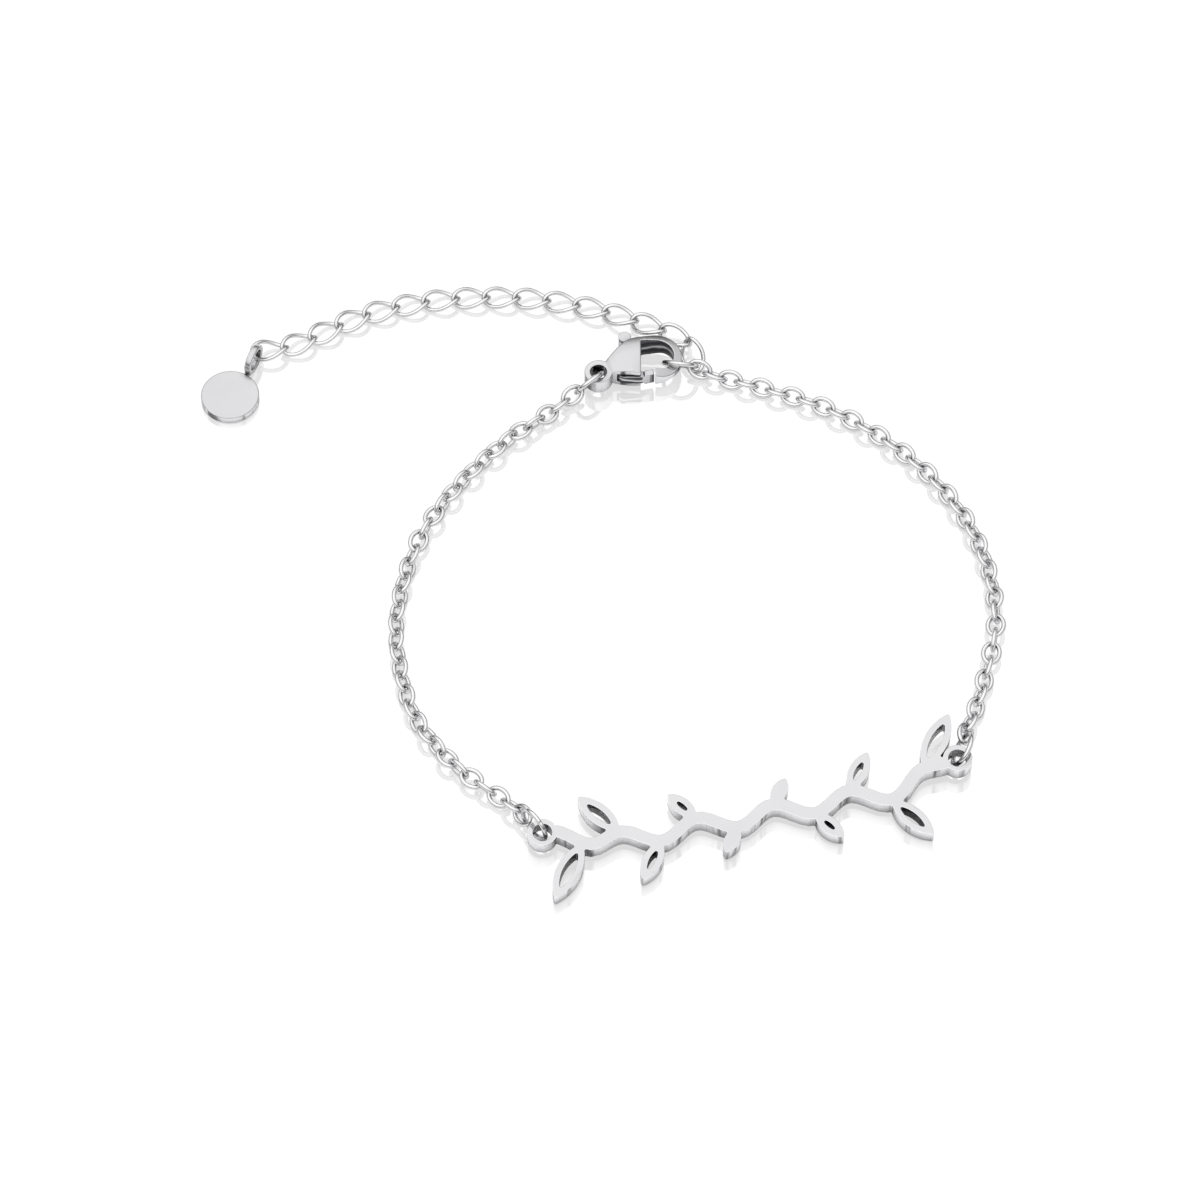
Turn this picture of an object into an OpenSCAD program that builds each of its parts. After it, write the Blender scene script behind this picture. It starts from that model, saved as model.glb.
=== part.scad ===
// Nameplate bracelet of polished steel, closed on its clasp and lying flat on a table.
// Millimetres, +Z up. The origin is on the table, under the middle of the whole bracelet.

/* [Cable chain] */
// Wire of a chain link
chain_wire = 0.4; // [0.38:0.01:0.41]
// Outer width of a chain link
chain_width = 2; // [1.9:0.05:2.1]
// Opening of a chain link along the chain
chain_opening = 1.82; // [1.8:0.01:1.84]
// Links between the clasp and the left end of the plate
left_links = 37; // [36:1:37]
// Links between the join ring and the right end of the plate
right_links = 37; // [36:1:37]

/* [Extender] */
// Wire of an extender link
extender_wire = 0.36; // [0.34:0.01:0.37]
// Outer width of an extender link
extender_width = 2.5; // [2.3:0.1:2.6]
// Opening of an extender link along the chain
extender_opening = 3.24; // [3.22:0.02:3.28]
// Links in the extender
extender_links = 16; // [16:1:16]
// Half of the twist that lets each extender link lie flat, in degrees
extender_twist = -44; // [-48:1:-40]

/* [Jump rings] */
// Outer diameter of a jump ring
ring_d = 3.7; // [3.66:0.01:3.72]
// Wire of a jump ring
ring_wire = 0.45; // [0.4:0.01:0.46]

/* [Nameplate] */
// Distance between the centres of the two end eyes
plate_span = 40; // [39.8:0.1:40.2]
// Thickness of the plate
plate_t = 1.5; // [1.2:0.1:1.5]
// Outer diameter of an end eye
plate_eye_d = 2.8; // [2.7:0.05:2.8]
// Hole of an end eye
plate_eye_hole = 1.8; // [1.8:0.02:1.86]
// Width of the wavy stem
stem_w = 1.25; // [1.1:0.05:1.4]
// Number of leaves on the stem
leaf_count = 10; // [8:2:12]
// Length of the longest leaf, at the ends of the stem
leaf_long = 6.4; // [5:0.2:6.6]
// Length of the shortest leaf, at the middle of the stem
leaf_short = 2.8; // [2.4:0.2:3.4]
// Width of metal around the opening of a leaf
leaf_wall = 0.62; // [0.5:0.02:0.7]

/* [Clasp] */
// Thickness of the clasp at its belly
clasp_t = 3.2; // [3:0.1:3.2]
// Height of the gate where it shuts the hook
gate_t = 1.4; // [1.3:0.05:1.5]
// Outer radius of the hook
hook_r = 2.4; // [2.35:0.01:2.42]
// Inner radius of the hook
hook_inner_r = 1.6; // [1.56:0.01:1.62]
// Hole of the clasp's eye
clasp_hole = 1.6; // [1.5:0.05:1.7]
// Radius of the lever's pivot pin
pin_r = 0.33; // [0.28:0.01:0.36]
// Running gap around the lever
lever_gap = 0.08; // [0.06:0.01:0.1]

/* [Tag] */
// Diameter of the tag's disc
tag_d = 5.7; // [5.6:0.05:5.8]
// Thickness of the tag's disc
tag_t = 0.9; // [0.7:0.1:1]
// Height of the tag's oval loop
loop_h = 2.8; // [2.76:0.02:2.84]
// Length of the tag's oval loop
loop_l = 3.1; // [3.06:0.02:3.14]

/* [Hidden] */
round_fn = 64;
wire_fn = 24;
clear = 0.01;

// The chain's links have this many cuts around the link and around its wire.
link_cuts = 12;
wire_cuts = 6;
extender_cuts = 16;

// Middle of the whole bracelet in the plan that the places below are laid out on.
middle = [0.07, -0.22, 0];

// Places of the solid ends of the chains, hand-laid on the table.
plate_origin = [-5.24, -28.6];
plate_turn = 11.8;
plate_lift = 0.62;
plate_tilt = 4.4;
clasp_origin = [0.03, 23.7];
clasp_turn = 16.5;
tag_centre = [-36.05, 22.02];
loop_centre = [-33.83, 25.88];
loop_heading = 66;

// Each jump ring: centre x, centre y, heading of its level axis, lean of its plane from level.
ring_clasp = [-0.86, 22.86, 41, -65];
ring_plate_left = [-5.98, -27.72, -50, 90];
ring_plate_right = [34.42, -19.3, -105, 62];
ring_join = [8.07, 25.11, -7.6, -57.7];

// Routes of the link centres, one row for every few links: x, y, height and extra roll in degrees.
// A cable chain's height is the gap that it leaves under its lowest links.
left_route = [
    [-2.51, 21.66, 0.42, 0],
    [-3.74, 20.7, 0.06, 12],
    [-5.4, 19.2, 0.03, 25],
    [-9, 16.4, 0.03, 60],
    [-13.3, 11.6, 0.03, 68],
    [-16.4, 6.7, 0.03, 45],
    [-18.3, 1.9, 0.03, 0],
    [-19.3, -3.8, 0.03, 0],
    [-19, -9, 0.03, 0],
    [-17.4, -15.1, 0.03, 0],
    [-13.8, -20.4, 0.03, 35],
    [-9.8, -23.8, 0.05, 76],
    [-8.08, -25.19, 0.28, 87],
    [-7.09, -26.4, 0.64, 90],
];
right_route = [
    [9.99, 24.82, 0.35, 0],
    [11.45, 24.27, 0.05, 0],
    [13.2, 23.75, 0.03, 0],
    [16.2, 22.8, 0.03, 0],
    [22.2, 20.5, 0.03, 0],
    [27.6, 17, 0.03, 0],
    [32.3, 12.4, 0.03, 0],
    [35.7, 7.1, 0.03, 0],
    [37.7, 1, 0.03, 0],
    [38.05, -5.2, 0.03, -35],
    [36.8, -11.1, 0.03, -70],
    [35.9, -14.2, 0.03, -80],
    [35.27, -15.79, 0.06, -84],
    [34.81, -17.29, 0.38, -86],
];
extender_route = [
    [-32.31, 27.28, 1.03, -5],
    [-29.58, 28.18, 0.79, 0],
    [-23.4, 31.5, 0.66, 0],
    [-17.5, 33.2, 0.66, 0],
    [-11.6, 33.8, 0.66, 0],
    [-5.6, 33.5, 0.66, 0],
    [0.3, 32.2, 0.66, 0],
    [6.08, 29.84, 0.81, -1],
    [9.04, 27.58, 1.08, 20],
    [9.25, 26.72, 0.85, 13],
];

// Roll of the first link of each chain.
left_roll = -45;
right_roll = 45;

// Smooth curve through the rows of a route, as a dense list of points.
function between(a, b, c, d, t) =
    (2 * b + (c - a) * t + (2 * a - 5 * b + 4 * c - d) * t * t + (3 * b - a - 3 * c + d) * t * t * t) / 2;
function row(rows, i) =
    i < 0 ? 2 * rows[0] - rows[1] :
    i >= len(rows) ? 2 * rows[len(rows) - 1] - rows[len(rows) - 2] : rows[i];
function curve(rows, steps) = concat(
    [for (i = [0 : len(rows) - 2], s = [0 : steps - 1])
        between(row(rows, i - 1), row(rows, i), row(rows, i + 1), row(rows, i + 2), s / steps)],
    [rows[len(rows) - 1]]);

// Length along a curve at each of its points, and the row at a given length.
function xyz(p) = [p.x, p.y, p.z];
function lengths(points) =
    [for (i = 0, sum = 0; i < len(points);
        sum = sum + (i + 1 < len(points) ? norm(xyz(points[i + 1]) - xyz(points[i])) : 0), i = i + 1) sum];
function row_at(points, sums, s) =
    [for (k = [0 : 3]) lookup(s, [for (i = [0 : len(points) - 1]) [sums[i], points[i][k]]])];

function unit(v) = v / norm(v);

// Middle line of a link: an oval whose two ends may be twisted apart.
function link_line(a, b, twist, cuts) =
    [for (i = [0 : cuts - 1]) let (t = 360 * i / cuts, r = twist * cos(t))
        [a * cos(t), b * sin(t) * cos(r), b * sin(t) * sin(r)]];

// Points of a wire swept round a link, ring by ring.
function link_points(line, twist, wire) =
    [for (i = [0 : len(line) - 1])
        let (n = len(line), along = unit(line[(i + 1) % n] - line[(i + n - 1) % n]))
        let (r = twist * cos(360 * i / n), flat = [0, -sin(r), cos(r)])
        let (out = unit(cross(along, flat)), up = cross(out, along))
        for (j = [0 : wire_cuts - 1])
            let (t = 360 * (j + 0.5) / wire_cuts)
                line[i] + wire / 2 * (cos(t) * out + sin(t) * up)];
function link_faces(cuts) =
    [for (i = [0 : cuts - 1], j = [0 : wire_cuts - 1])
        let (i2 = (i + 1) % cuts, j2 = (j + 1) % wire_cuts)
        let (a = i * wire_cuts + j, b = i2 * wire_cuts + j, c = i2 * wire_cuts + j2, d = i * wire_cuts + j2)
        each [[a, b, c], [a, c, d]]];

// One link set at a point of a route, with its length along the route and its width rolled about it.
module link(centre, along, roll, opening, width, wire, twist, cuts) {
    side = unit(cross([0, 0, 1], along));
    over = cross(along, side);
    across = cos(roll) * side + sin(roll) * over;
    up = cross(along, across);
    line = link_line((opening + wire) / 2, (width - wire) / 2, twist, cuts);
    points = [for (p = link_points(line, twist, wire)) centre + p.x * along + p.y * across + p.z * up];
    polyhedron(points, link_faces(cuts), convexity = 4);
}

// Height of a link's centre when it and its neighbours, a quarter turn apart, rest on the table.
function rest(spread, roll) = spread * sin(90 - abs(45 - abs(roll) % 90));

// A chain of links along a route, each one rolled by a step from its neighbour.
module chain(rows, count, first_roll, step, opening, width, wire, twist, cuts) {
    spread = step == 0 ? 0 : (width - wire) / 2;
    floor_z = step == 0 ? 0 : wire / 2;
    points = [for (p = curve(rows, 12))
        [p.x - middle.x, p.y - middle.y, p.z + floor_z + rest(spread, p[3]), p[3]]];
    sums = lengths(points);
    total = sums[len(sums) - 1];
    pitch = total / (count - 1);
    for (k = [0 : count - 1]) {
        here = row_at(points, sums, k * pitch);
        ahead = row_at(points, sums, min(total, (k + 1 / 3) * pitch));
        behind = row_at(points, sums, max(0, (k - 1 / 3) * pitch));
        roll = first_roll + step * k + here[3];
        link(xyz(here), unit(xyz(ahead) - xyz(behind)), roll, opening, width, wire, twist, cuts);
    }
}

module chain_left() {
    color("silver")
        chain(left_route, left_links, left_roll, 90, chain_opening, chain_width, chain_wire, 0, link_cuts);
}

module chain_right() {
    color("silver")
        chain(right_route, right_links, right_roll, 90, chain_opening, chain_width, chain_wire, 0, link_cuts);
}

module extender_chain() {
    color("silver")
        chain(extender_route, extender_links, 0, 0, extender_opening, extender_width, extender_wire,
            extender_twist, extender_cuts);
}

// A closed ring of round wire standing on the table on its edge, leaning by its fourth value.
module jump_ring(place) {
    middle_r = (ring_d - ring_wire) / 2;
    stand = middle_r * abs(sin(place[3])) + ring_wire / 2 + clear;
    color("gainsboro")
        translate([place[0], place[1], stand] - middle)
            rotate([place[3], 0, place[2]])
                rotate_extrude($fn = round_fn)
                    translate([middle_r, 0])
                        circle(d = ring_wire, $fn = wire_fn);
}

// Middle line of the stem: level waves that rise to the eyes at both ends.
stem_step = (plate_span - 7) / (leaf_count - 1);
stem_start = 3.5;
stem_drop = 2.2;
stem_wave = 0.85;
function stem_v(u) =
    let (end = min(1, min(u, plate_span - u) / 7))
    let (wave = stem_wave * min(1, end * 1.6) * cos(180 * (u - stem_start) / stem_step))
    -stem_drop * (1 - cos(180 * end)) / 2 - wave;
function stem_edge(u, side) =
    let (slope = (stem_v(u + 0.05) - stem_v(u - 0.05)) / 0.1, away = unit([-slope, 1]))
    [u, stem_v(u)] + side * stem_w / 2 * away;
module stem_2d() {
    cuts = 60;
    first = plate_eye_hole / 2 + 0.2;
    run = plate_span - 2 * first;
    upper = [for (i = [0 : cuts]) stem_edge(first + run * i / cuts, 1)];
    lower = [for (i = [cuts : -1 : 0]) stem_edge(first + run * i / cuts, -1)];
    polygon(concat(upper, lower));
}

// A pointed leaf between two arcs, starting at the origin and growing along +X.
module lens_2d(length, width, inset) {
    r = (length * length + width * width) / (4 * width);
    translate([length / 2, 0])
        intersection() {
            translate([0, width / 2 - r])
                circle(r = r - inset, $fn = 72);
            translate([0, r - width / 2])
                circle(r = r - inset, $fn = 72);
        }
}
module leaf_2d(length) {
    width = 0.8 + 0.24 * length;
    difference() {
        lens_2d(length, width, 0);
        if (width - 2 * leaf_wall > 0.35)
            lens_2d(length, width, leaf_wall);
    }
}

// The leaves stand on the stem's crests and troughs by turns, and lean away from its middle.
function leaf_length(k) = leaf_short + (leaf_long - leaf_short) * pow(abs(2 * k / (leaf_count - 1) - 1), 1.3);
module leaves_2d() {
    for (k = [0 : leaf_count - 1]) {
        u = stem_start + k * stem_step;
        up = k % 2 == 1 ? 1 : -1;
        lean = k < leaf_count / 2 ? 1 : -1;
        translate([u, stem_v(u)])
            rotate(up * (90 + lean * 36))
                leaf_2d(leaf_length(k));
    }
}

module nameplate() {
    color("whitesmoke")
        translate([plate_origin.x, plate_origin.y, plate_lift] - middle)
            rotate([0, 0, plate_turn])
                rotate([plate_tilt, 0, 0])
                    difference() {
                        union() {
                            linear_extrude(plate_t)
                                offset(r = -0.15, $fn = 12)
                                    offset(r = 0.3, $fn = 12)
                                        offset(delta = -0.15) {
                                            stem_2d();
                                            leaves_2d();
                                        }
                            for (u = [0, plate_span])
                                translate([u, 0, 0])
                                    cylinder(d = plate_eye_d, h = plate_t, $fn = round_fn);
                        }
                        for (u = [0, plate_span])
                            translate([u, 0, -1])
                                cylinder(d = plate_eye_hole, h = plate_t + 2, $fn = round_fn);
                    }
}

// Clasp, in its own plan: the eye is at the origin, the hook lies along +X, the gate is on the -Y side.
clasp_z = clasp_t / 2;
eye_r = 1.38;
eye_t = 1.7;
neck_centre = [1, 0.2];
neck_r = 0.65;
belly_centre = [4.4, 0.55];
belly_r = 2.15;
hook_centre = [6.1, 0.2];
hook_tip = -112;
pivot = [2.55, -0.55];
slot_t = 1.2;
hub_r = 0.74;
tab_angle = 73.9;
tab_reach = 3.96;
tab_r = 0.62;
tab_t = 1.7;
lever_swing = 28;
step_low = [3.85, -1.6];
step_high = [5, 2.2];

module place_clasp() {
    translate([clasp_origin.x, clasp_origin.y, clasp_z] - middle)
        rotate([0, 0, clasp_turn])
            children();
}

// Slab of a given height about the clasp's middle plane.
module slab(height) {
    translate([0, 0, -height / 2])
        linear_extrude(height)
            children();
}

// Opening of the hook: round at the nose, straight where the belly ends, and open at the gate.
module hook_opening_2d() {
    away = 8;
    below = [step_low.x - 0.6, step_low.y - 2];
    above = step_high + (step_high - step_low) * 0.2;
    intersection() {
        polygon([below, step_low, above, [away + 2, above.y], [away + 2, below.y]]);
        union() {
            hull() {
                translate(hook_centre)
                    circle(r = hook_inner_r, $fn = round_fn);
                translate([5, 0.45])
                    circle(r = hook_inner_r, $fn = round_fn);
            }
            translate(hook_centre)
                polygon([[0, 0], [-3, 1], [-away, -away], away * [cos(hook_tip), sin(hook_tip)]]);
        }
    }
}

// Plan of the body: it widens from the neck to the belly and runs on round the hook to its tip.
module body_2d() {
    difference() {
        hull() {
            translate(neck_centre)
                circle(r = neck_r, $fn = round_fn);
            translate(belly_centre)
                circle(r = belly_r, $fn = round_fn);
            translate(hook_centre)
                circle(r = hook_r, $fn = round_fn);
        }
        hook_opening_2d();
    }
}

// Barrel that bounds the body above (side 1) or below (side -1): full at the belly, slim at both ends.
crown_r = 5.5;
crown_x = 3.4;
crown_back_r = 4.6;
crown_front_r = 14;
function crown_drop(x) =
    let (r = x < crown_x ? crown_back_r : crown_front_r)
    r - sqrt(r * r - (x - crown_x) * (x - crown_x));
module crown(side) {
    steps = 16;
    profile = [for (i = [0 : steps])
        let (x = -0.4 + 9.4 * i / steps)
            [crown_r - crown_drop(x), x]];
    translate([0, 0.75, side * (clasp_t / 2 - crown_r)])
        rotate([90, 0, 90])
            rotate_extrude($fn = 96)
                polygon(concat([[0, -0.4]], profile, [[0, 9]]));
}

// Room for the lever: the front slot, the gate's swing and the thumb tab's swing.
module lever_room() {
    away = 7;
    tab_low = tab_angle - 14;
    tab_high = tab_angle + lever_swing + 14;
    slab(slot_t) {
        translate(pivot)
            circle(r = hub_r + lever_gap, $fn = round_fn);
        translate(pivot)
            polygon([[0, 0], away * [cos(tab_low), sin(tab_low)], away * [cos(90), sin(90)],
                away * [cos(tab_high), sin(tab_high)], [-0.78, 0.3]]);
        translate(pivot)
            polygon([[0, 0], [-1.5, -0.3], [-1.5, -3], [2.2, -3], [2.35, -1.6], [2.35, 1.36],
                [0.3, 0.78]]);
    }
}

module pin_bore() {
    translate([pivot.x, pivot.y, -3])
        cylinder(r = pin_r + 0.03, h = 6, $fn = round_fn);
}

module clasp_body() {
    color("lightgray")
        place_clasp()
            difference() {
                union() {
                    intersection() {
                        slab(clasp_t + 1)
                            body_2d();
                        crown(1);
                        crown(-1);
                    }
                    slab(eye_t)
                        circle(r = eye_r, $fn = round_fn);
                }
                translate([0, 0, -3])
                    cylinder(d = clasp_hole, h = 6, $fn = round_fn);
                lever_room();
                pin_bore();
            }
}

// Lever: a hub on the pin, the gate that shuts the hook, and the thumb tab on the spine side.
module clasp_lever() {
    thin = slot_t - 2 * lever_gap;
    tip = [hook_centre.x + 2 * cos(hook_tip) - 0.16, -1.78];
    color("gainsboro")
        place_clasp()
            difference() {
                union() {
                    slab(thin) {
                        translate(pivot)
                            circle(r = hub_r, $fn = round_fn);
                        polygon([pivot, pivot + [-0.26, -0.69], [3.6, -1.62], [4.4, -1.76], [4.4, -1.12],
                            [3.1, -0.2]]);
                        translate(pivot)
                            rotate(tab_angle)
                                polygon([[0, -0.14], [0.9, -0.14], [2.2, -0.46], [tab_reach, -0.52],
                                    [tab_reach, 0.52], [2.2, 0.46], [0.9, 0.14], [0, 0.14]]);
                    }
                    slab(gate_t)
                        polygon([[4.2, -1.74], tip, [tip.x + 0.02, -1.16], [4.32, -1.1]]);
                    translate([pivot.x, pivot.y, 0])
                        rotate([0, 0, tab_angle])
                            translate([tab_reach, 0, 0])
                                cylinder(r = tab_r, h = tab_t, center = true, $fn = round_fn);
                }
                pin_bore();
            }
}

module clasp_pin() {
    color("silver")
        place_clasp()
            translate([pivot.x, pivot.y, 0])
                cylinder(r = pin_r, h = clasp_t - 0.4, center = true, $fn = round_fn);
}

// Oval standing on the origin, as high as the tag's loop, smaller by an inset all round.
module loop_2d(inset) {
    hull()
        for (side = [-1, 1])
            translate([side * (loop_l - loop_h) / 2, loop_h / 2])
                circle(d = loop_h - 2 * inset, $fn = 48);
}

// Flat disc, and an oval loop of flat wire that stands beside it, soldered to its rim by a short stub.
module tag() {
    edge = 0.08;
    loop_w = 0.6;
    loop_t = 0.4;
    stub_d = 0.56;
    half = tag_d / 2;
    out = loop_centre - tag_centre;
    color("gainsboro") {
        translate([tag_centre.x, tag_centre.y, 0] - middle) {
            rotate_extrude($fn = 96)
                polygon([[0, 0], [half - edge, 0], [half, edge], [half, tag_t - edge], [half - edge, tag_t],
                    [0, tag_t]]);
            translate([0, 0, tag_t / 2])
                rotate([0, 90, atan2(out.y, out.x)])
                    translate([0, 0, half - 0.4])
                        cylinder(d = stub_d, h = norm(out) - half - 0.6, $fn = wire_fn);
        }
        translate([loop_centre.x, loop_centre.y, clear] - middle)
            rotate([90, 0, loop_heading])
                translate([0, 0, -loop_w / 2])
                    linear_extrude(loop_w)
                        difference() {
                            loop_2d(0);
                            loop_2d(loop_t);
                        }
    }
}

nameplate();
chain_left();
chain_right();
jump_ring(ring_plate_left);
jump_ring(ring_plate_right);
jump_ring(ring_clasp);
clasp_body();
clasp_lever();
clasp_pin();
jump_ring(ring_join);
extender_chain();
tag();
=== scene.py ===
import math

import bmesh
import bpy
import numpy as np
from mathutils import Matrix, Vector


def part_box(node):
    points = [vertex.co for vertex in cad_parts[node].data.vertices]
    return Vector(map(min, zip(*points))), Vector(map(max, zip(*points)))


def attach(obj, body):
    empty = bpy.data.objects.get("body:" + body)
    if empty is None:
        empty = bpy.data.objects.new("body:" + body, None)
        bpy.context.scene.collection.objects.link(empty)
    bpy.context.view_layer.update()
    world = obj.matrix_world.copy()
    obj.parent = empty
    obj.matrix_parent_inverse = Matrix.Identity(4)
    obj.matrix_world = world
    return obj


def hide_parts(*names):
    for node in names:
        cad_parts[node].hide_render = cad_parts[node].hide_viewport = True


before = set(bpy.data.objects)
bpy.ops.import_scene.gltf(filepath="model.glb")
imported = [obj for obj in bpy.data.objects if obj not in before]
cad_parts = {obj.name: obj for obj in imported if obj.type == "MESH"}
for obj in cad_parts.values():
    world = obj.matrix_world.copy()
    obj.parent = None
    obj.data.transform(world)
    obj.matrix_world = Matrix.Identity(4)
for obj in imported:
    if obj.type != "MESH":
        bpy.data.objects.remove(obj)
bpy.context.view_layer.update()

MM = 0.001

# --- Camera -------------------------------------------------------------------------------
# A long lens looks down on the table at 57 degrees, from straight in front of the plate. It
# stands far off, so that the far chain looks nearly as large as the near one.

camera_slope = math.radians(57)
camera_distance = 650 * MM
camera_target = Vector((0.11, -1.18, 0)) * MM
camera_data = bpy.data.cameras.new("camera")
camera_data.lens = 202.8
camera_data.sensor_width = 36
camera_data.clip_start = 0.01
camera = bpy.data.objects.new("camera", camera_data)
camera_way = Vector((0, -math.cos(camera_slope), math.sin(camera_slope)))
camera.location = camera_target + camera_distance * camera_way
camera.rotation_euler = (math.pi / 2 - camera_slope, 0, 0)
bpy.context.scene.collection.objects.link(camera)
bpy.context.scene.camera = camera
bpy.context.scene.view_settings.view_transform = "Standard"

# --- Table --------------------------------------------------------------------------------
# A sheet of glossy white acrylic, bright all over, that mirrors faintly what lies on it. It is
# a hair lower than the pieces that it carries.


def linear(code):
    """The linear colour of an sRGB hex value, with alpha."""
    parts = [int(code[i : i + 2], 16) / 255 for i in (1, 3, 5)]
    return [p / 12.92 if p <= 0.04045 else ((p + 0.055) / 1.055) ** 2.4 for p in parts] + [1]


def add(tree, kind, settings=(), inputs=(), links=()):
    """Adds a node: settings are its attributes, inputs its sockets' values, and links the outputs
    that feed its sockets."""
    made = tree.nodes.new(kind)
    for name, value in dict(settings).items():
        setattr(made, name, value)
    for name, value in dict(inputs).items():
        made.inputs[name].default_value = value
    for name, source in dict(links).items():
        tree.links.new(source, made.inputs[name])
    return made


def new_material(name):
    """A new material, its node tree, and its Principled shader wired to the output."""
    made = bpy.data.materials.new(name)
    made.use_nodes = True
    tree = made.node_tree
    tree.nodes.clear()
    shader = add(tree, "ShaderNodeBsdfPrincipled")
    add(tree, "ShaderNodeOutputMaterial", links={"Surface": shader.outputs["BSDF"]})
    return made, tree, shader


def finish(name, mesh_data, material, body="bracelet", node=None):
    """Makes a piece of a finished bmesh, gives it its material, and lets it ride on its body."""
    mesh = bpy.data.meshes.new(name)
    mesh_data.to_mesh(mesh)
    mesh_data.free()
    piece = bpy.data.objects.new(name, mesh)
    for each in material if isinstance(material, list) else [material]:
        mesh.materials.append(each)
    bpy.context.scene.collection.objects.link(piece)
    if node:
        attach(piece, body)
        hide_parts(node)
    return piece


# The camera sees the sheet glow, with a weak mirror in it. The metal sees plain white acrylic.
sheet_half = 0.9
sheet_mirror = 0.25
table_gap = 0.01 * MM
acrylic, tree, shader = new_material("white_acrylic")
shader.inputs["Base Color"].default_value = linear("#F4F4F4")
shader.inputs["Roughness"].default_value = 0.5
path = add(tree, "ShaderNodeLightPath")
glow = add(tree, "ShaderNodeEmission", inputs={"Color": (1, 1, 1, 1), "Strength": 0.92})
gloss = add(tree, "ShaderNodeBsdfGlossy", inputs={"Color": (1, 1, 1, 1), "Roughness": 0.06})
glossy_sheet = add(
    tree,
    "ShaderNodeMixShader",
    inputs={"Fac": sheet_mirror},
    links={1: glow.outputs["Emission"], 2: gloss.outputs["BSDF"]},
)
seen_sheet = add(
    tree,
    "ShaderNodeMixShader",
    links={
        "Fac": path.outputs["Is Camera Ray"],
        1: shader.outputs["BSDF"],
        2: glossy_sheet.outputs["Shader"],
    },
)
output = [n for n in tree.nodes if n.bl_idname == "ShaderNodeOutputMaterial"][0]
tree.links.new(seen_sheet.outputs["Shader"], output.inputs["Surface"])
sheet = bmesh.new()
bmesh.ops.create_grid(sheet, x_segments=1, y_segments=1, size=sheet_half)
bmesh.ops.translate(sheet, verts=sheet.verts, vec=(0, 0, -table_gap))
finish("table_sheet", sheet, acrylic)

# --- Light tent ---------------------------------------------------------------------------
# A white tent all round, half shaded on the right. Polished metal mirrors it, and the dark room
# through its low gaps.

world = bpy.data.worlds.new("light_tent")
bpy.context.scene.world = world
world.use_nodes = True
tree = world.node_tree
tree.nodes.clear()
direction = add(tree, "ShaderNodeTexCoord").outputs["Generated"]
axes = add(tree, "ShaderNodeSeparateXYZ", links={"Vector": direction})
level = add(
    tree,
    "ShaderNodeMapRange",
    inputs={"From Min": -1, "From Max": 1},
    links={"Value": axes.outputs["Z"]},
)
tent = add(tree, "ShaderNodeValToRGB", links={"Fac": level.outputs["Result"]})
# A band's height, from 0 straight below to 1 straight above, and its brightness.
tent_bands = [
    (0.0, 0.85),
    (0.44, 0.8),
    (0.475, 0.14),
    (0.55, 0.1),
    (0.61, 0.14),
    (0.68, 0.4),
    (0.78, 0.85),
    (0.9, 1.0),
    (1.0, 1.0),
]
while len(tent.color_ramp.elements) < len(tent_bands):
    tent.color_ramp.elements.new(0.5)
for stop, (place, grey) in zip(tent.color_ramp.elements, tent_bands):
    stop.position = place
    stop.color = (grey, grey, grey, 1)
# The tent is lit from the left.
shade = add(
    tree,
    "ShaderNodeMapRange",
    inputs={"From Min": 0.06, "From Max": 0.5, "To Min": 1.35, "To Max": 1.05},
    links={"Value": axes.outputs["X"]},
)
# Only mirrored rays see the bands. All others see an even white tent.
path = add(tree, "ShaderNodeLightPath")
seen_by_metal = add(
    tree,
    "ShaderNodeBackground",
    links={"Color": tent.outputs["Color"], "Strength": shade.outputs["Result"]},
)
seen_directly = add(tree, "ShaderNodeBackground", inputs={"Color": (1, 1, 1, 1), "Strength": 1.2})
blend = add(
    tree,
    "ShaderNodeMixShader",
    links={
        "Fac": path.outputs["Is Glossy Ray"],
        1: seen_directly.outputs["Background"],
        2: seen_by_metal.outputs["Background"],
    },
)
add(tree, "ShaderNodeOutputWorld", links={"Surface": blend.outputs["Shader"]})

# --- Cable chains -------------------------------------------------------------------------
# Soldered oval links of drawn steel wire, tumbled bright, from the clasp to the plate's left end
# and from the join ring to its right end. Each link hangs in its neighbours, a quarter turn
# apart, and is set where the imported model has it.


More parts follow.
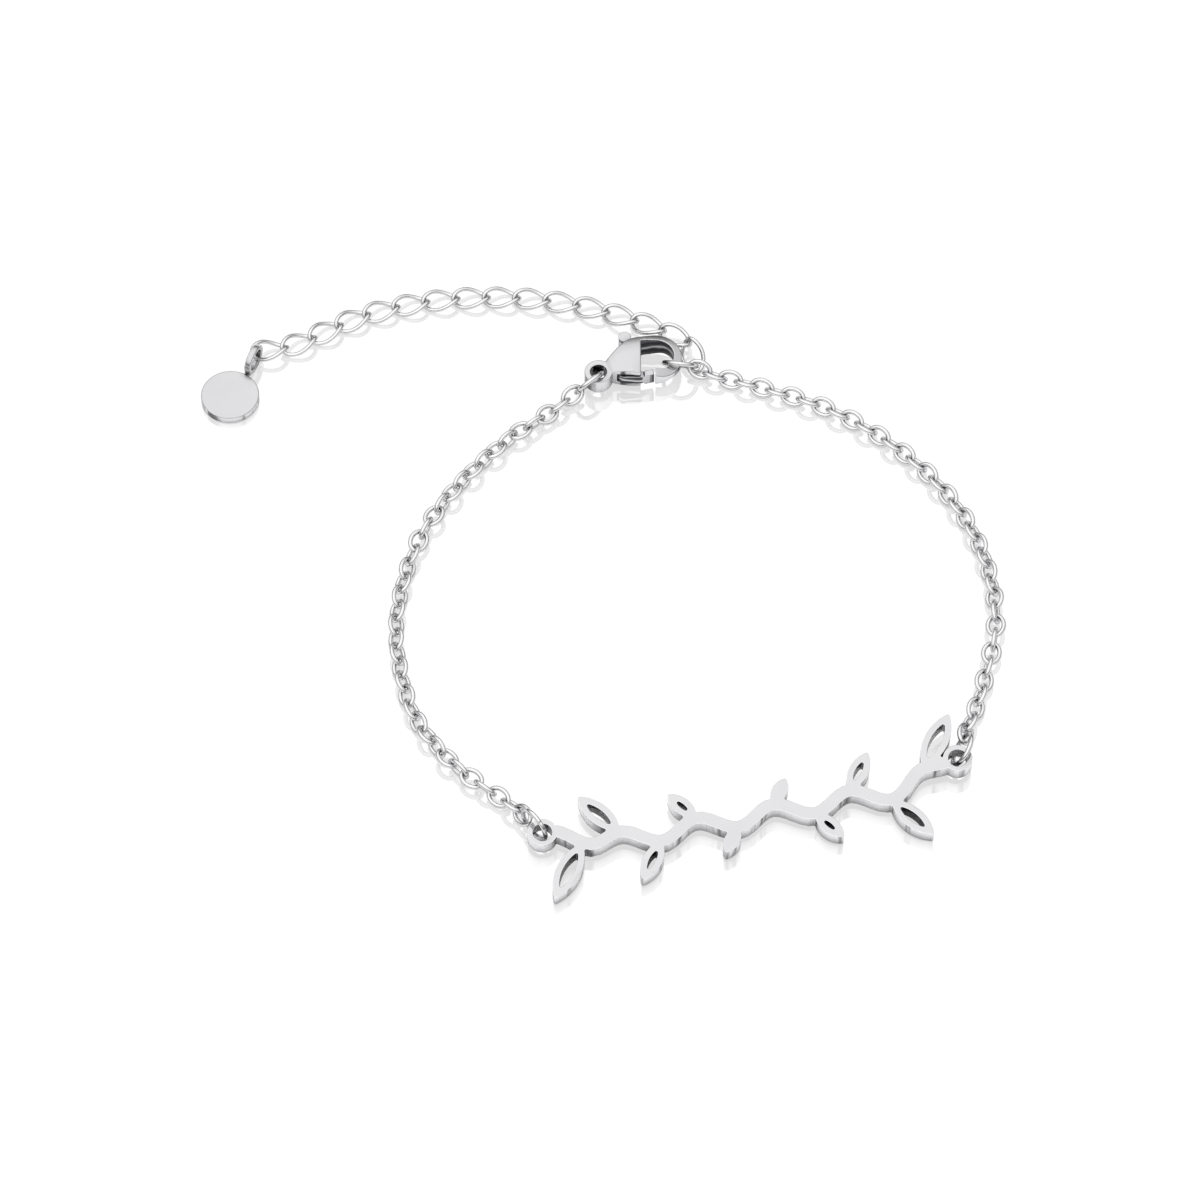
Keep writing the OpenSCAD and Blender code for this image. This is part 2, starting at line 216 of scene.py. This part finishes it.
def drawn_wire(name, grain, painted_side_shade):
    """Stainless steel wire, tumbled in steel shot: a bright back, painted grey shade where the wire
    turns away from the view, and painted shade where pieces touch."""
    made, tree, shader = new_material(name)
    where = add(tree, "ShaderNodeTexCoord").outputs["Object"]
    dents = add(
        tree,
        "ShaderNodeTexNoise",
        inputs={"Scale": 1 / (grain * MM), "Detail": 2},
        links={"Vector": where},
    )
    haze = add(
        tree,
        "ShaderNodeTexNoise",
        inputs={"Scale": 0.35 / (grain * MM), "Detail": 3},
        links={"Vector": where},
    )
    tone = add(
        tree,
        "ShaderNodeMix",
        {"data_type": "RGBA"},
        {"A": linear("#DADADC"), "B": linear("#E8E8E8")},
        {"Factor": haze.outputs["Fac"]},
    )
    # Painted shade: faces turned away from the view take the grey painted side shade.
    facing = add(tree, "ShaderNodeLayerWeight", inputs={"Blend": 0.5}).outputs["Facing"]
    side = add(
        tree,
        "ShaderNodeMapRange",
        inputs={"From Min": 0.35, "From Max": 0.85},
        links={"Value": facing},
    )
    turned = add(
        tree,
        "ShaderNodeMix",
        {"data_type": "RGBA"},
        {"B": linear(painted_side_shade)},
        {"Factor": side.outputs["Result"], "A": tone.outputs["Result"]},
    )
    # Painted shade where pieces touch, mixed into the colour at a little over half strength.
    painted_contact_shade = add(
        tree,
        "ShaderNodeAmbientOcclusion",
        {"samples": 4},
        {"Distance": 0.3 * MM},
        {"Color": turned.outputs["Result"]},
    )
    worn_and_painted_shade = add(
        tree,
        "ShaderNodeMix",
        {"data_type": "RGBA"},
        {"Factor": 0.55},
        {"A": turned.outputs["Result"], "B": painted_contact_shade.outputs["Color"]},
    )
    rough = add(
        tree,
        "ShaderNodeMapRange",
        inputs={"To Min": 0.08, "To Max": 0.22},
        links={"Value": haze.outputs["Fac"]},
    )
    bump = add(
        tree,
        "ShaderNodeBump",
        inputs={"Strength": 0.25, "Distance": 0.02 * MM},
        links={"Height": dents.outputs["Fac"]},
    )
    shader.inputs["Metallic"].default_value = 1
    tree.links.new(worn_and_painted_shade.outputs["Result"], shader.inputs["Base Color"])
    tree.links.new(rough.outputs["Result"], shader.inputs["Roughness"])
    tree.links.new(bump.outputs["Normal"], shader.inputs["Normal"])
    return made


def link_places(node):
    """Where each loose link of a chain's node lies: its centre, and its long, wide and thin
    directions."""
    loose = bmesh.new()
    loose.from_mesh(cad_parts[node].data)
    bmesh.ops.remove_doubles(loose, verts=loose.verts, dist=0.001 * MM)
    places, seen = [], set()
    for start in loose.verts:
        if start in seen:
            continue
        seen.add(start)
        group = [start]
        for vert in group:
            for edge in vert.link_edges:
                other = edge.other_vert(vert)
                if other not in seen:
                    seen.add(other)
                    group.append(other)
        points = np.array([v.co for v in group], dtype=float)
        middle = points.mean(axis=0)
        _, axes = np.linalg.eigh(np.cov((points - middle).T))
        long, wide = Vector(axes[:, 2]), Vector(axes[:, 1])
        turn = Matrix((long, wide, long.cross(wide))).transposed().to_4x4()
        places.append(Matrix.Translation(Vector(middle)) @ turn)
    loose.free()
    return places


def oval_link(length, width, wire, twist, around, across):
    """A closed link of round wire: a spun ring drawn out to an oval, its ends turned apart by
    the twist. It has so many steps around the link and across its wire."""
    made = bmesh.new()
    ring = (width - wire) / 2
    bmesh.ops.create_circle(made, segments=across, radius=wire / 2)
    bmesh.ops.rotate(made, verts=made.verts, matrix=Matrix.Rotation(math.pi / 2, 3, "X"))
    bmesh.ops.translate(made, verts=made.verts, vec=(ring, 0, 0))
    bmesh.ops.spin(
        made,
        geom=made.verts[:] + made.edges[:],
        axis=(0, 0, 1),
        angle=2 * math.pi,
        steps=around,
        use_merge=True,
    )
    reach = (length - wire) / 2
    for vert in made.verts:
        turn = math.atan2(vert.co.y, vert.co.x)
        vert.co.x += (reach - ring) * math.cos(turn)
        vert.co = Matrix.Rotation(twist * math.cos(turn), 3, "X") @ vert.co
    bmesh.ops.recalc_face_normals(made, faces=made.faces)
    for face in made.faces:
        face.smooth = True
    return made


def hang_links(name, node, link, material):
    """One piece of all a chain's links, each a copy of one link set in its place."""
    pattern = bpy.data.meshes.new(name + "_link")
    link.to_mesh(pattern)
    link.free()
    chain = bmesh.new()
    for place in link_places(node):
        first = len(chain.verts)
        chain.from_mesh(pattern)
        chain.verts.ensure_lookup_table()
        bmesh.ops.transform(chain, matrix=place, verts=chain.verts[first:])
    bpy.data.meshes.remove(pattern)
    finish(name, chain, material, node=node)


cable_wire = drawn_wire("tumbled_steel_wire", grain=0.16, painted_side_shade="#BEBEC2")
for side in ("left", "right"):
    cable_link = oval_link(
        length=2.65 * MM, width=2.03 * MM, wire=0.46 * MM, twist=0, around=28, across=12
    )
    hang_links(f"cable_chain_{side}", f"chain_{side}", cable_link, cable_wire)

# --- Extender -----------------------------------------------------------------------------
# Open curb links of thinner wire, each twisted so that the row lies flat. They hang from the
# join ring, and the tag hangs from the last of them.

curb_wire = drawn_wire("curb_steel_wire", grain=0.2, painted_side_shade="#98989C")
curb_link = oval_link(
    length=3.98 * MM, width=2.52 * MM, wire=0.42 * MM, twist=math.radians(-44), around=36, across=12
)
hang_links("extender_links", "extender_chain", curb_link, curb_wire)

# --- Jump rings ---------------------------------------------------------------------------
# Rings of round steel wire, bent shut, with the fine line of the cut where the ends meet. Two
# hold the plate, one the clasp, and the clasp's hook holds the fourth.

# Centre in millimetres, then heading, lean from level and place of the cut in degrees.
ring_places = {
    "ring_clasp": (-0.93, 23.08, 41, -65, 200),
    "ring_plate_left": (-6.05, -27.5, -50, 90, 60),
    "ring_plate_right": (34.35, -19.08, -105, 62, 250),
    "ring_join": (8.0, 25.33, -7.6, -57.7, 100),
}
ring_radius = 1.625 * MM
ring_wire_radius = 0.225 * MM
ring_cut = math.radians(1.6)
bright_wire = drawn_wire("bright_ring_wire", grain=0.25, painted_side_shade="#AEAEB2")
for node, (x, y, heading, lean, cut_at) in ring_places.items():
    ring = bmesh.new()
    bmesh.ops.create_circle(ring, cap_ends=True, segments=16, radius=ring_wire_radius)
    bmesh.ops.rotate(ring, verts=ring.verts, matrix=Matrix.Rotation(math.pi / 2, 3, "X"))
    bmesh.ops.translate(ring, verts=ring.verts, vec=(ring_radius, 0, 0))
    bmesh.ops.rotate(ring, verts=ring.verts, matrix=Matrix.Rotation(math.radians(cut_at), 3, "Z"))
    start_cap = ring.faces[:]
    bmesh.ops.spin(ring, geom=start_cap, axis=(0, 0, 1), angle=2 * math.pi - ring_cut, steps=64)
    bmesh.ops.recalc_face_normals(ring, faces=ring.faces)
    stand = ring_radius * abs(math.sin(math.radians(lean))) + ring_wire_radius + table_gap
    swung = Matrix.Rotation(math.radians(heading), 4, "Z")
    turn = swung @ Matrix.Rotation(math.radians(lean), 4, "X")
    middle = Matrix.Translation((x * MM, y * MM, stand))
    bmesh.ops.transform(ring, matrix=middle @ turn, verts=ring.verts)
    for face in ring.faces:
        face.smooth = len(face.verts) == 4
    finish(node.replace("ring_", "jump_ring_"), ring, bright_wire, node=node)

# --- Nameplate ----------------------------------------------------------------------------
# A vine cut from steel sheet by laser, then polished: mirror faces, eased edges with a painted
# highlight, and walls that keep the laser's fine upright lines.


def mirror_polish(name, dark, light, shiny, dull, grain):
    """Steel buffed on a wheel: a mirror with a faint haze, very fine wiping lines, and painted
    shade in its hollows.
    """
    made, tree, shader = new_material(name)
    where = add(tree, "ShaderNodeTexCoord").outputs["Object"]
    haze = add(
        tree,
        "ShaderNodeTexNoise",
        inputs={"Scale": 1 / (4 * MM), "Detail": 3},
        links={"Vector": where},
    )
    stretched = add(
        tree,
        "ShaderNodeMapping",
        inputs={"Scale": (1, 9, 1), "Rotation": (0, 0, 0.5)},
        links={"Vector": where},
    )
    lines = add(
        tree,
        "ShaderNodeTexNoise",
        inputs={"Scale": 1 / (grain * MM), "Detail": 2},
        links={"Vector": stretched.outputs["Vector"]},
    )
    tone = add(
        tree,
        "ShaderNodeMix",
        {"data_type": "RGBA"},
        {"A": linear(dark), "B": linear(light)},
        {"Factor": haze.outputs["Fac"]},
    )
    # Painted shade: the colour darkens in hollows and corners.
    painted_hollow_shade = add(
        tree,
        "ShaderNodeAmbientOcclusion",
        {"samples": 4},
        {"Distance": 0.8 * MM},
        {"Color": tone.outputs["Result"]},
    )
    rough = add(
        tree,
        "ShaderNodeMapRange",
        inputs={"To Min": shiny, "To Max": dull},
        links={"Value": lines.outputs["Fac"]},
    )
    bump = add(
        tree,
        "ShaderNodeBump",
        inputs={"Strength": 0.06, "Distance": 0.01 * MM},
        links={"Height": lines.outputs["Fac"]},
    )
    shader.inputs["Metallic"].default_value = 1
    tree.links.new(painted_hollow_shade.outputs["Color"], shader.inputs["Base Color"])
    tree.links.new(rough.outputs["Result"], shader.inputs["Roughness"])
    tree.links.new(bump.outputs["Normal"], shader.inputs["Normal"])
    return made


def laser_wall(name, dark, light, streak, share=0.34, hollow=1.4):
    """A cut edge, half polished: rubbed upright lines, painted shade in its corners, and painted
    dark reflections in a few streaks."""
    made, tree, shader = new_material(name)
    where = add(tree, "ShaderNodeTexCoord").outputs["Object"]
    upright = add(
        tree, "ShaderNodeMapping", inputs={"Scale": (1, 1, 0.06)}, links={"Vector": where}
    )
    cuts = add(
        tree,
        "ShaderNodeTexNoise",
        inputs={"Scale": 1 / (0.12 * MM), "Detail": 2},
        links={"Vector": upright.outputs["Vector"]},
    )
    streaks = add(
        tree,
        "ShaderNodeTexNoise",
        inputs={"Scale": 1 / (streak * MM), "Detail": 2, "Roughness": 0.6},
        links={"Vector": upright.outputs["Vector"]},
    )
    # Painted reflections: a few upright streaks take the dark colour.
    painted_reflection_streaks = add(
        tree,
        "ShaderNodeMapRange",
        inputs={"From Min": share, "From Max": share + 0.12, "To Min": 0.15},
        links={"Value": streaks.outputs["Fac"]},
    )
    # Painted shade in the corners, deepened by the hollow power.
    painted_corner_shade = add(tree, "ShaderNodeAmbientOcclusion", {"samples": 4}, {"Distance": 1.6 * MM})
    depth = add(
        tree, "ShaderNodeMath", {"operation": "POWER"}, {1: hollow}, {0: painted_corner_shade.outputs["AO"]}
    )
    both = add(
        tree,
        "ShaderNodeMath",
        {"operation": "MULTIPLY"},
        links={0: depth.outputs["Value"], 1: painted_reflection_streaks.outputs["Result"]},
    )
    tone = add(
        tree,
        "ShaderNodeMix",
        {"data_type": "RGBA"},
        {"A": linear(dark), "B": linear(light)},
        {"Factor": both.outputs["Value"]},
    )
    rough = add(
        tree,
        "ShaderNodeMapRange",
        inputs={"To Min": 0.1, "To Max": 0.24},
        links={"Value": cuts.outputs["Fac"]},
    )
    bump = add(
        tree,
        "ShaderNodeBump",
        inputs={"Strength": 0.3, "Distance": 0.012 * MM},
        links={"Height": cuts.outputs["Fac"]},
    )
    shader.inputs["Metallic"].default_value = 1
    tree.links.new(tone.outputs["Result"], shader.inputs["Base Color"])
    tree.links.new(rough.outputs["Result"], shader.inputs["Roughness"])
    tree.links.new(bump.outputs["Normal"], shader.inputs["Normal"])
    return made


def merged_copy(node, within=0.001 * MM):
    """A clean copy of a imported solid: close points merged, and flat faces made whole."""
    made = bmesh.new()
    made.from_mesh(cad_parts[node].data)
    bmesh.ops.remove_doubles(made, verts=made.verts, dist=within)
    bmesh.ops.dissolve_limit(
        made, angle_limit=math.radians(0.5), verts=made.verts, edges=made.edges
    )
    return made


def sharpen(made, degrees):
    """Smooth shading, but for edges sharper than the angle and the rims of large flat faces."""
    for face in made.faces:
        face.smooth = True
    for edge in made.edges:
        flat = any(len(face.verts) > 12 for face in edge.link_faces)
        edge.smooth = not flat and edge.calc_face_angle(0) < math.radians(degrees)


def ease_rims(made, width, segments):
    """Rounds off the rims of a cut or stamped piece, as a polishing wheel does."""
    rims = [e for e in made.edges if e.calc_face_angle(0) > math.radians(60)]
    bmesh.ops.bevel(
        made,
        geom=rims,
        offset=width,
        offset_type="OFFSET",
        segments=segments,
        profile=0.5,
        affect="EDGES",
        clamp_overlap=True,
        material=-1,
    )


plate_face = mirror_polish(
    "mirror_steel_plate", "#C4C4C6", "#CECECF", shiny=0.04, dull=0.1, grain=0.3
)
# The eased rims get a near-white copy of the plate's steel: a painted highlight.
plate_rim_painted_highlight = mirror_polish(
    "buffed_steel_rim_painted_highlight", "#F0F0F2", "#F8F8F8", shiny=0.05, dull=0.12, grain=0.3
)
plate_wall = laser_wall("laser_cut_steel_edge", "#444448", "#EEEEF0", streak=1.1, hollow=1.2)
plate = merged_copy("nameplate", within=0.05 * MM)
ease_rims(plate, width=0.06 * MM, segments=3)
sharpen(plate, 32)
flat, eased = 0.98, 0.3
# Flat faces take the mirror, eased rims the painted highlight, and walls the cut edge.
for face in plate.faces:
    level = abs(face.normal.z)
    face.material_index = 0 if level > flat else 1 if level > eased else 2
finish("vine_plate", plate, [plate_face, plate_rim_painted_highlight, plate_wall], node="nameplate")

# --- Clasp --------------------------------------------------------------------------------
# A lobster clasp: its body and lever are cast, filed and tumbled, so that every corner is soft.
# The lever turns on a pin through the body, with a spring hidden inside.


def cast_from(name, node, grain, softness, riveted=None):
    """A solid as it comes from the mould and the tumbler: remeshed finely and smoothed by wear.

    A bore whose pin is riveted over and polished flush is closed first."""
    rough_cast = merged_copy(node)
    if riveted:
        around = 0.4 * MM
        bore = [
            f
            for f in rough_cast.faces
            if all((v.co - riveted).xy.length < around for v in f.verts)
        ]
        bmesh.ops.delete(rough_cast, geom=bore, context="FACES")
        bmesh.ops.holes_fill(rough_cast, edges=[e for e in rough_cast.edges if e.is_boundary])
    mesh = bpy.data.meshes.new(name + "_cast")
    rough_cast.to_mesh(mesh)
    rough_cast.free()
    holder = bpy.data.objects.new(name + "_cast", mesh)
    bpy.context.scene.collection.objects.link(holder)
    remesh = holder.modifiers.new("skin", "REMESH")
    remesh.mode = "VOXEL"
    remesh.voxel_size = grain
    worn_and_painted_shade = holder.modifiers.new("worn_and_painted_shade", "SMOOTH")
    worn_and_painted_shade.factor = 0.5
    worn_and_painted_shade.iterations = softness
    bpy.context.view_layer.update()
    seen = holder.evaluated_get(bpy.context.evaluated_depsgraph_get())
    made = bmesh.new()
    made.from_mesh(seen.to_mesh())
    seen.to_mesh_clear()
    bpy.data.objects.remove(holder)
    bpy.data.meshes.remove(mesh)
    for face in made.faces:
        face.smooth = True
    return made


def painted_shade_streak_steel(name):
    """Cast steel with painted shade: dark, with one painted highlight streak along it."""
    made, tree, shader = new_material(name)
    where = add(tree, "ShaderNodeTexCoord").outputs["Object"]
    axes = add(tree, "ShaderNodeSeparateXYZ", links={"Vector": where})
    waves = add(
        tree,
        "ShaderNodeTexNoise",
        inputs={"Scale": 1 / (2.5 * MM), "Detail": 2},
        links={"Vector": where},
    )
    wander = add(
        tree,
        "ShaderNodeMath",
        {"operation": "MULTIPLY_ADD"},
        {1: 1.1 * MM, 2: -0.55 * MM},
        {0: waves.outputs["Fac"]},
    )
    height = add(
        tree,
        "ShaderNodeMath",
        {"operation": "ADD"},
        links={0: axes.outputs["Z"], 1: wander.outputs["Value"]},
    )
    level = add(
        tree,
        "ShaderNodeMapRange",
        inputs={"From Min": 0.6 * MM, "From Max": 2.6 * MM},
        links={"Value": height.outputs["Value"]},
    )
    streak = add(tree, "ShaderNodeValToRGB", links={"Fac": level.outputs["Result"]})
    # From the floor of the slot, at 0, to its rim: painted shade, with a painted highlight band
    # near the middle.
    tones = [
        (0.0, "#6A6A6E"),
        (0.2, "#38383C"),
        (0.36, "#3E3E42"),
        (0.48, "#ECECEE"),
        (0.6, "#58585C"),
        (0.85, "#3A3A3E"),
        (1.0, "#7C7C80"),
    ]
    while len(streak.color_ramp.elements) < len(tones):
        streak.color_ramp.elements.new(0.5)
    for stop, (place, code) in zip(streak.color_ramp.elements, tones):
        stop.position = place
        stop.color = linear(code)
    shader.inputs["Metallic"].default_value = 1
    shader.inputs["Roughness"].default_value = 0.22
    tree.links.new(streak.outputs["Color"], shader.inputs["Base Color"])
    return made


low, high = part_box("clasp_pin")
pin_middle = (low + high) / 2
cast_steel = mirror_polish(
    "cast_clasp_steel", "#C0C0C2", "#CCCCCD", shiny=0.07, dull=0.15, grain=0.4
)
inner_steel = painted_shade_streak_steel("inner_steel_painted_shade")
side_steel = laser_wall("filed_clasp_side", "#303034", "#E8E8EA", streak=1.5, share=0.36)
shell = cast_from("clasp_shell", "clasp_body", grain=0.045 * MM, softness=22, riveted=pin_middle)

# The walls that face the middle of the hook get painted shade with one painted highlight
# streak, and the others are filed, with painted corner shade and dark reflection streaks.
hook_middle = Vector((5.75, 25.84)) * MM
hook_reach = 2.4 * MM
for face in shell.faces:
    inward = hook_middle - face.calc_center_median().xy
    if abs(face.normal.z) < 0.5:
        inside = inward.length < hook_reach and face.normal.xy.dot(inward) > 0
        face.material_index = 1 if inside else 2
finish("clasp_shell", shell, [cast_steel, inner_steel, side_steel], node="clasp_body")

lever_steel = mirror_polish("lever_steel", "#BDBDC0", "#CACACB", shiny=0.08, dull=0.17, grain=0.4)
lever_side = laser_wall("filed_lever_side", "#2E2E32", "#D0D0D2", streak=0.8, share=0.4)
arm = cast_from("lever_arm", "clasp_lever", grain=0.04 * MM, softness=10)

# The lever's walls get painted shade with a painted highlight streak where the body's slot
# hides them. In millimetres, the slot's right and back limits.
slot_right, slot_back = 4.3, 24.6
for face in arm.faces:
    place = face.calc_center_median() / MM
    if abs(face.normal.z) < 0.6:
        face.material_index = 1 if place.x < slot_right and place.y < slot_back else 2
finish("lever_arm", arm, [lever_steel, inner_steel, lever_side], body="lever", node="clasp_lever")

# The pin ends a little under the closed faces of the body.
pin_radius = 0.34 * MM
pin_sunk = 0.2 * MM
pin_long = high.z - low.z - 2 * pin_sunk
pin = bmesh.new()
bmesh.ops.create_cone(
    pin, cap_ends=True, segments=32, radius1=pin_radius, radius2=pin_radius, depth=pin_long
)
ease_rims(pin, width=0.08 * MM, segments=3)
bmesh.ops.translate(pin, verts=pin.verts, vec=pin_middle)
sharpen(pin, 40)
pin_steel = mirror_polish(
    "turned_pin_steel", "#BDBDC0", "#CACACB", shiny=0.07, dull=0.15, grain=0.2
)
finish("pivot_pin", pin, pin_steel, node="clasp_pin")

# --- Tag ----------------------------------------------------------------------------------
# A round blank stamped from sheet, polished on both sides and left bare, with a loop of flat
# wire soldered on its rim.

tag_middle = Vector((-36.12, 22.24, 0)) * MM
tag_radius = 2.85 * MM
tag_thick = 0.9 * MM
tag_edge = 0.12 * MM
loop_middle = Vector((-33.9, 26.1, 0)) * MM
loop_heading = math.radians(66)
loop_high = 2.8 * MM
loop_long = 3.1 * MM
loop_thick = 0.42 * MM
loop_wide = 0.62 * MM
neck_radius = 0.36 * MM
neck_long = 0.9 * MM
neck_heading = math.radians(60)
tag_steel = mirror_polish(
    "stamped_tag_steel", "#C0C0C2", "#CACACB", shiny=0.16, dull=0.3, grain=0.3
)
rim_steel = laser_wall("sheared_tag_rim", "#2A2A2E", "#F2F2F4", streak=1.6, share=0.38, hollow=0.6)
tag = bmesh.new()
bmesh.ops.create_cone(
    tag, cap_ends=True, segments=128, radius1=tag_radius, radius2=tag_radius, depth=tag_thick
)
bmesh.ops.translate(tag, verts=tag.verts, vec=(0, 0, tag_thick / 2))
ease_rims(tag, width=tag_edge, segments=4)
bmesh.ops.translate(tag, verts=tag.verts, vec=tag_middle)
for face in tag.faces:
    face.material_index = int(abs(face.normal.z) < 0.5)

# The loop: a strip with soft corners, spun to a ring and drawn out to an oval.
band = bmesh.new()
bmesh.ops.create_grid(band, x_segments=1, y_segments=1, size=0.5)
bmesh.ops.scale(band, verts=band.verts, vec=(loop_thick, loop_wide, 1))
bmesh.ops.bevel(
    band,
    geom=band.verts[:],
    offset=tag_edge,
    offset_type="OFFSET",
    segments=4,
    profile=0.5,
    affect="VERTICES",
    clamp_overlap=True,
    material=-1,
)
bmesh.ops.translate(band, verts=band.verts, vec=((loop_high - loop_thick) / 2, 0, 0))
bmesh.ops.delete(band, geom=band.faces[:], context="FACES_ONLY")
bmesh.ops.spin(
    band,
    geom=band.verts[:] + band.edges[:],
    axis=(0, 1, 0),
    angle=2 * math.pi,
    steps=72,
    use_merge=True,
)
for vert in band.verts:
    vert.co.x += (loop_long - loop_high) / 2 * max(-1, min(1, 2.4 * vert.co.x / loop_high))
bmesh.ops.recalc_face_normals(band, faces=band.faces)
stand = Matrix.Translation(loop_middle) @ Matrix.Rotation(loop_heading, 4, "Z")
bmesh.ops.transform(
    band, matrix=stand @ Matrix.Translation((0, 0, loop_high / 2 + table_gap)), verts=band.verts
)

# The solder between the loop and the disc's rim: a short neck that flares at both ends.
neck = bmesh.new()
bmesh.ops.create_cone(
    neck, cap_ends=True, segments=24, radius1=neck_radius, radius2=neck_radius, depth=neck_long
)
along = [e for e in neck.edges if e.calc_length() > neck_long / 2]
bmesh.ops.subdivide_edges(neck, edges=along, cuts=7)
for vert in neck.verts:
    waist = 0.7 + 0.3 * (vert.co.z / (neck_long / 2)) ** 2
    vert.co.x *= waist
    vert.co.y *= waist
neck_middle = tag_middle + tag_radius * Vector((0.5, 0.866, 0)) + Vector((0.02, 0.04, 0.45)) * MM
lie = Matrix.Rotation(neck_heading, 4, "Z") @ Matrix.Rotation(math.pi / 2, 4, "Y")
bmesh.ops.transform(neck, matrix=Matrix.Translation(neck_middle) @ lie, verts=neck.verts)
for part in (band, neck):
    held = bpy.data.meshes.new("soldered")
    part.to_mesh(held)
    part.free()
    tag.from_mesh(held)
    bpy.data.meshes.remove(held)
sharpen(tag, 35)
finish("round_tag", tag, [tag_steel, rim_steel], node="tag")
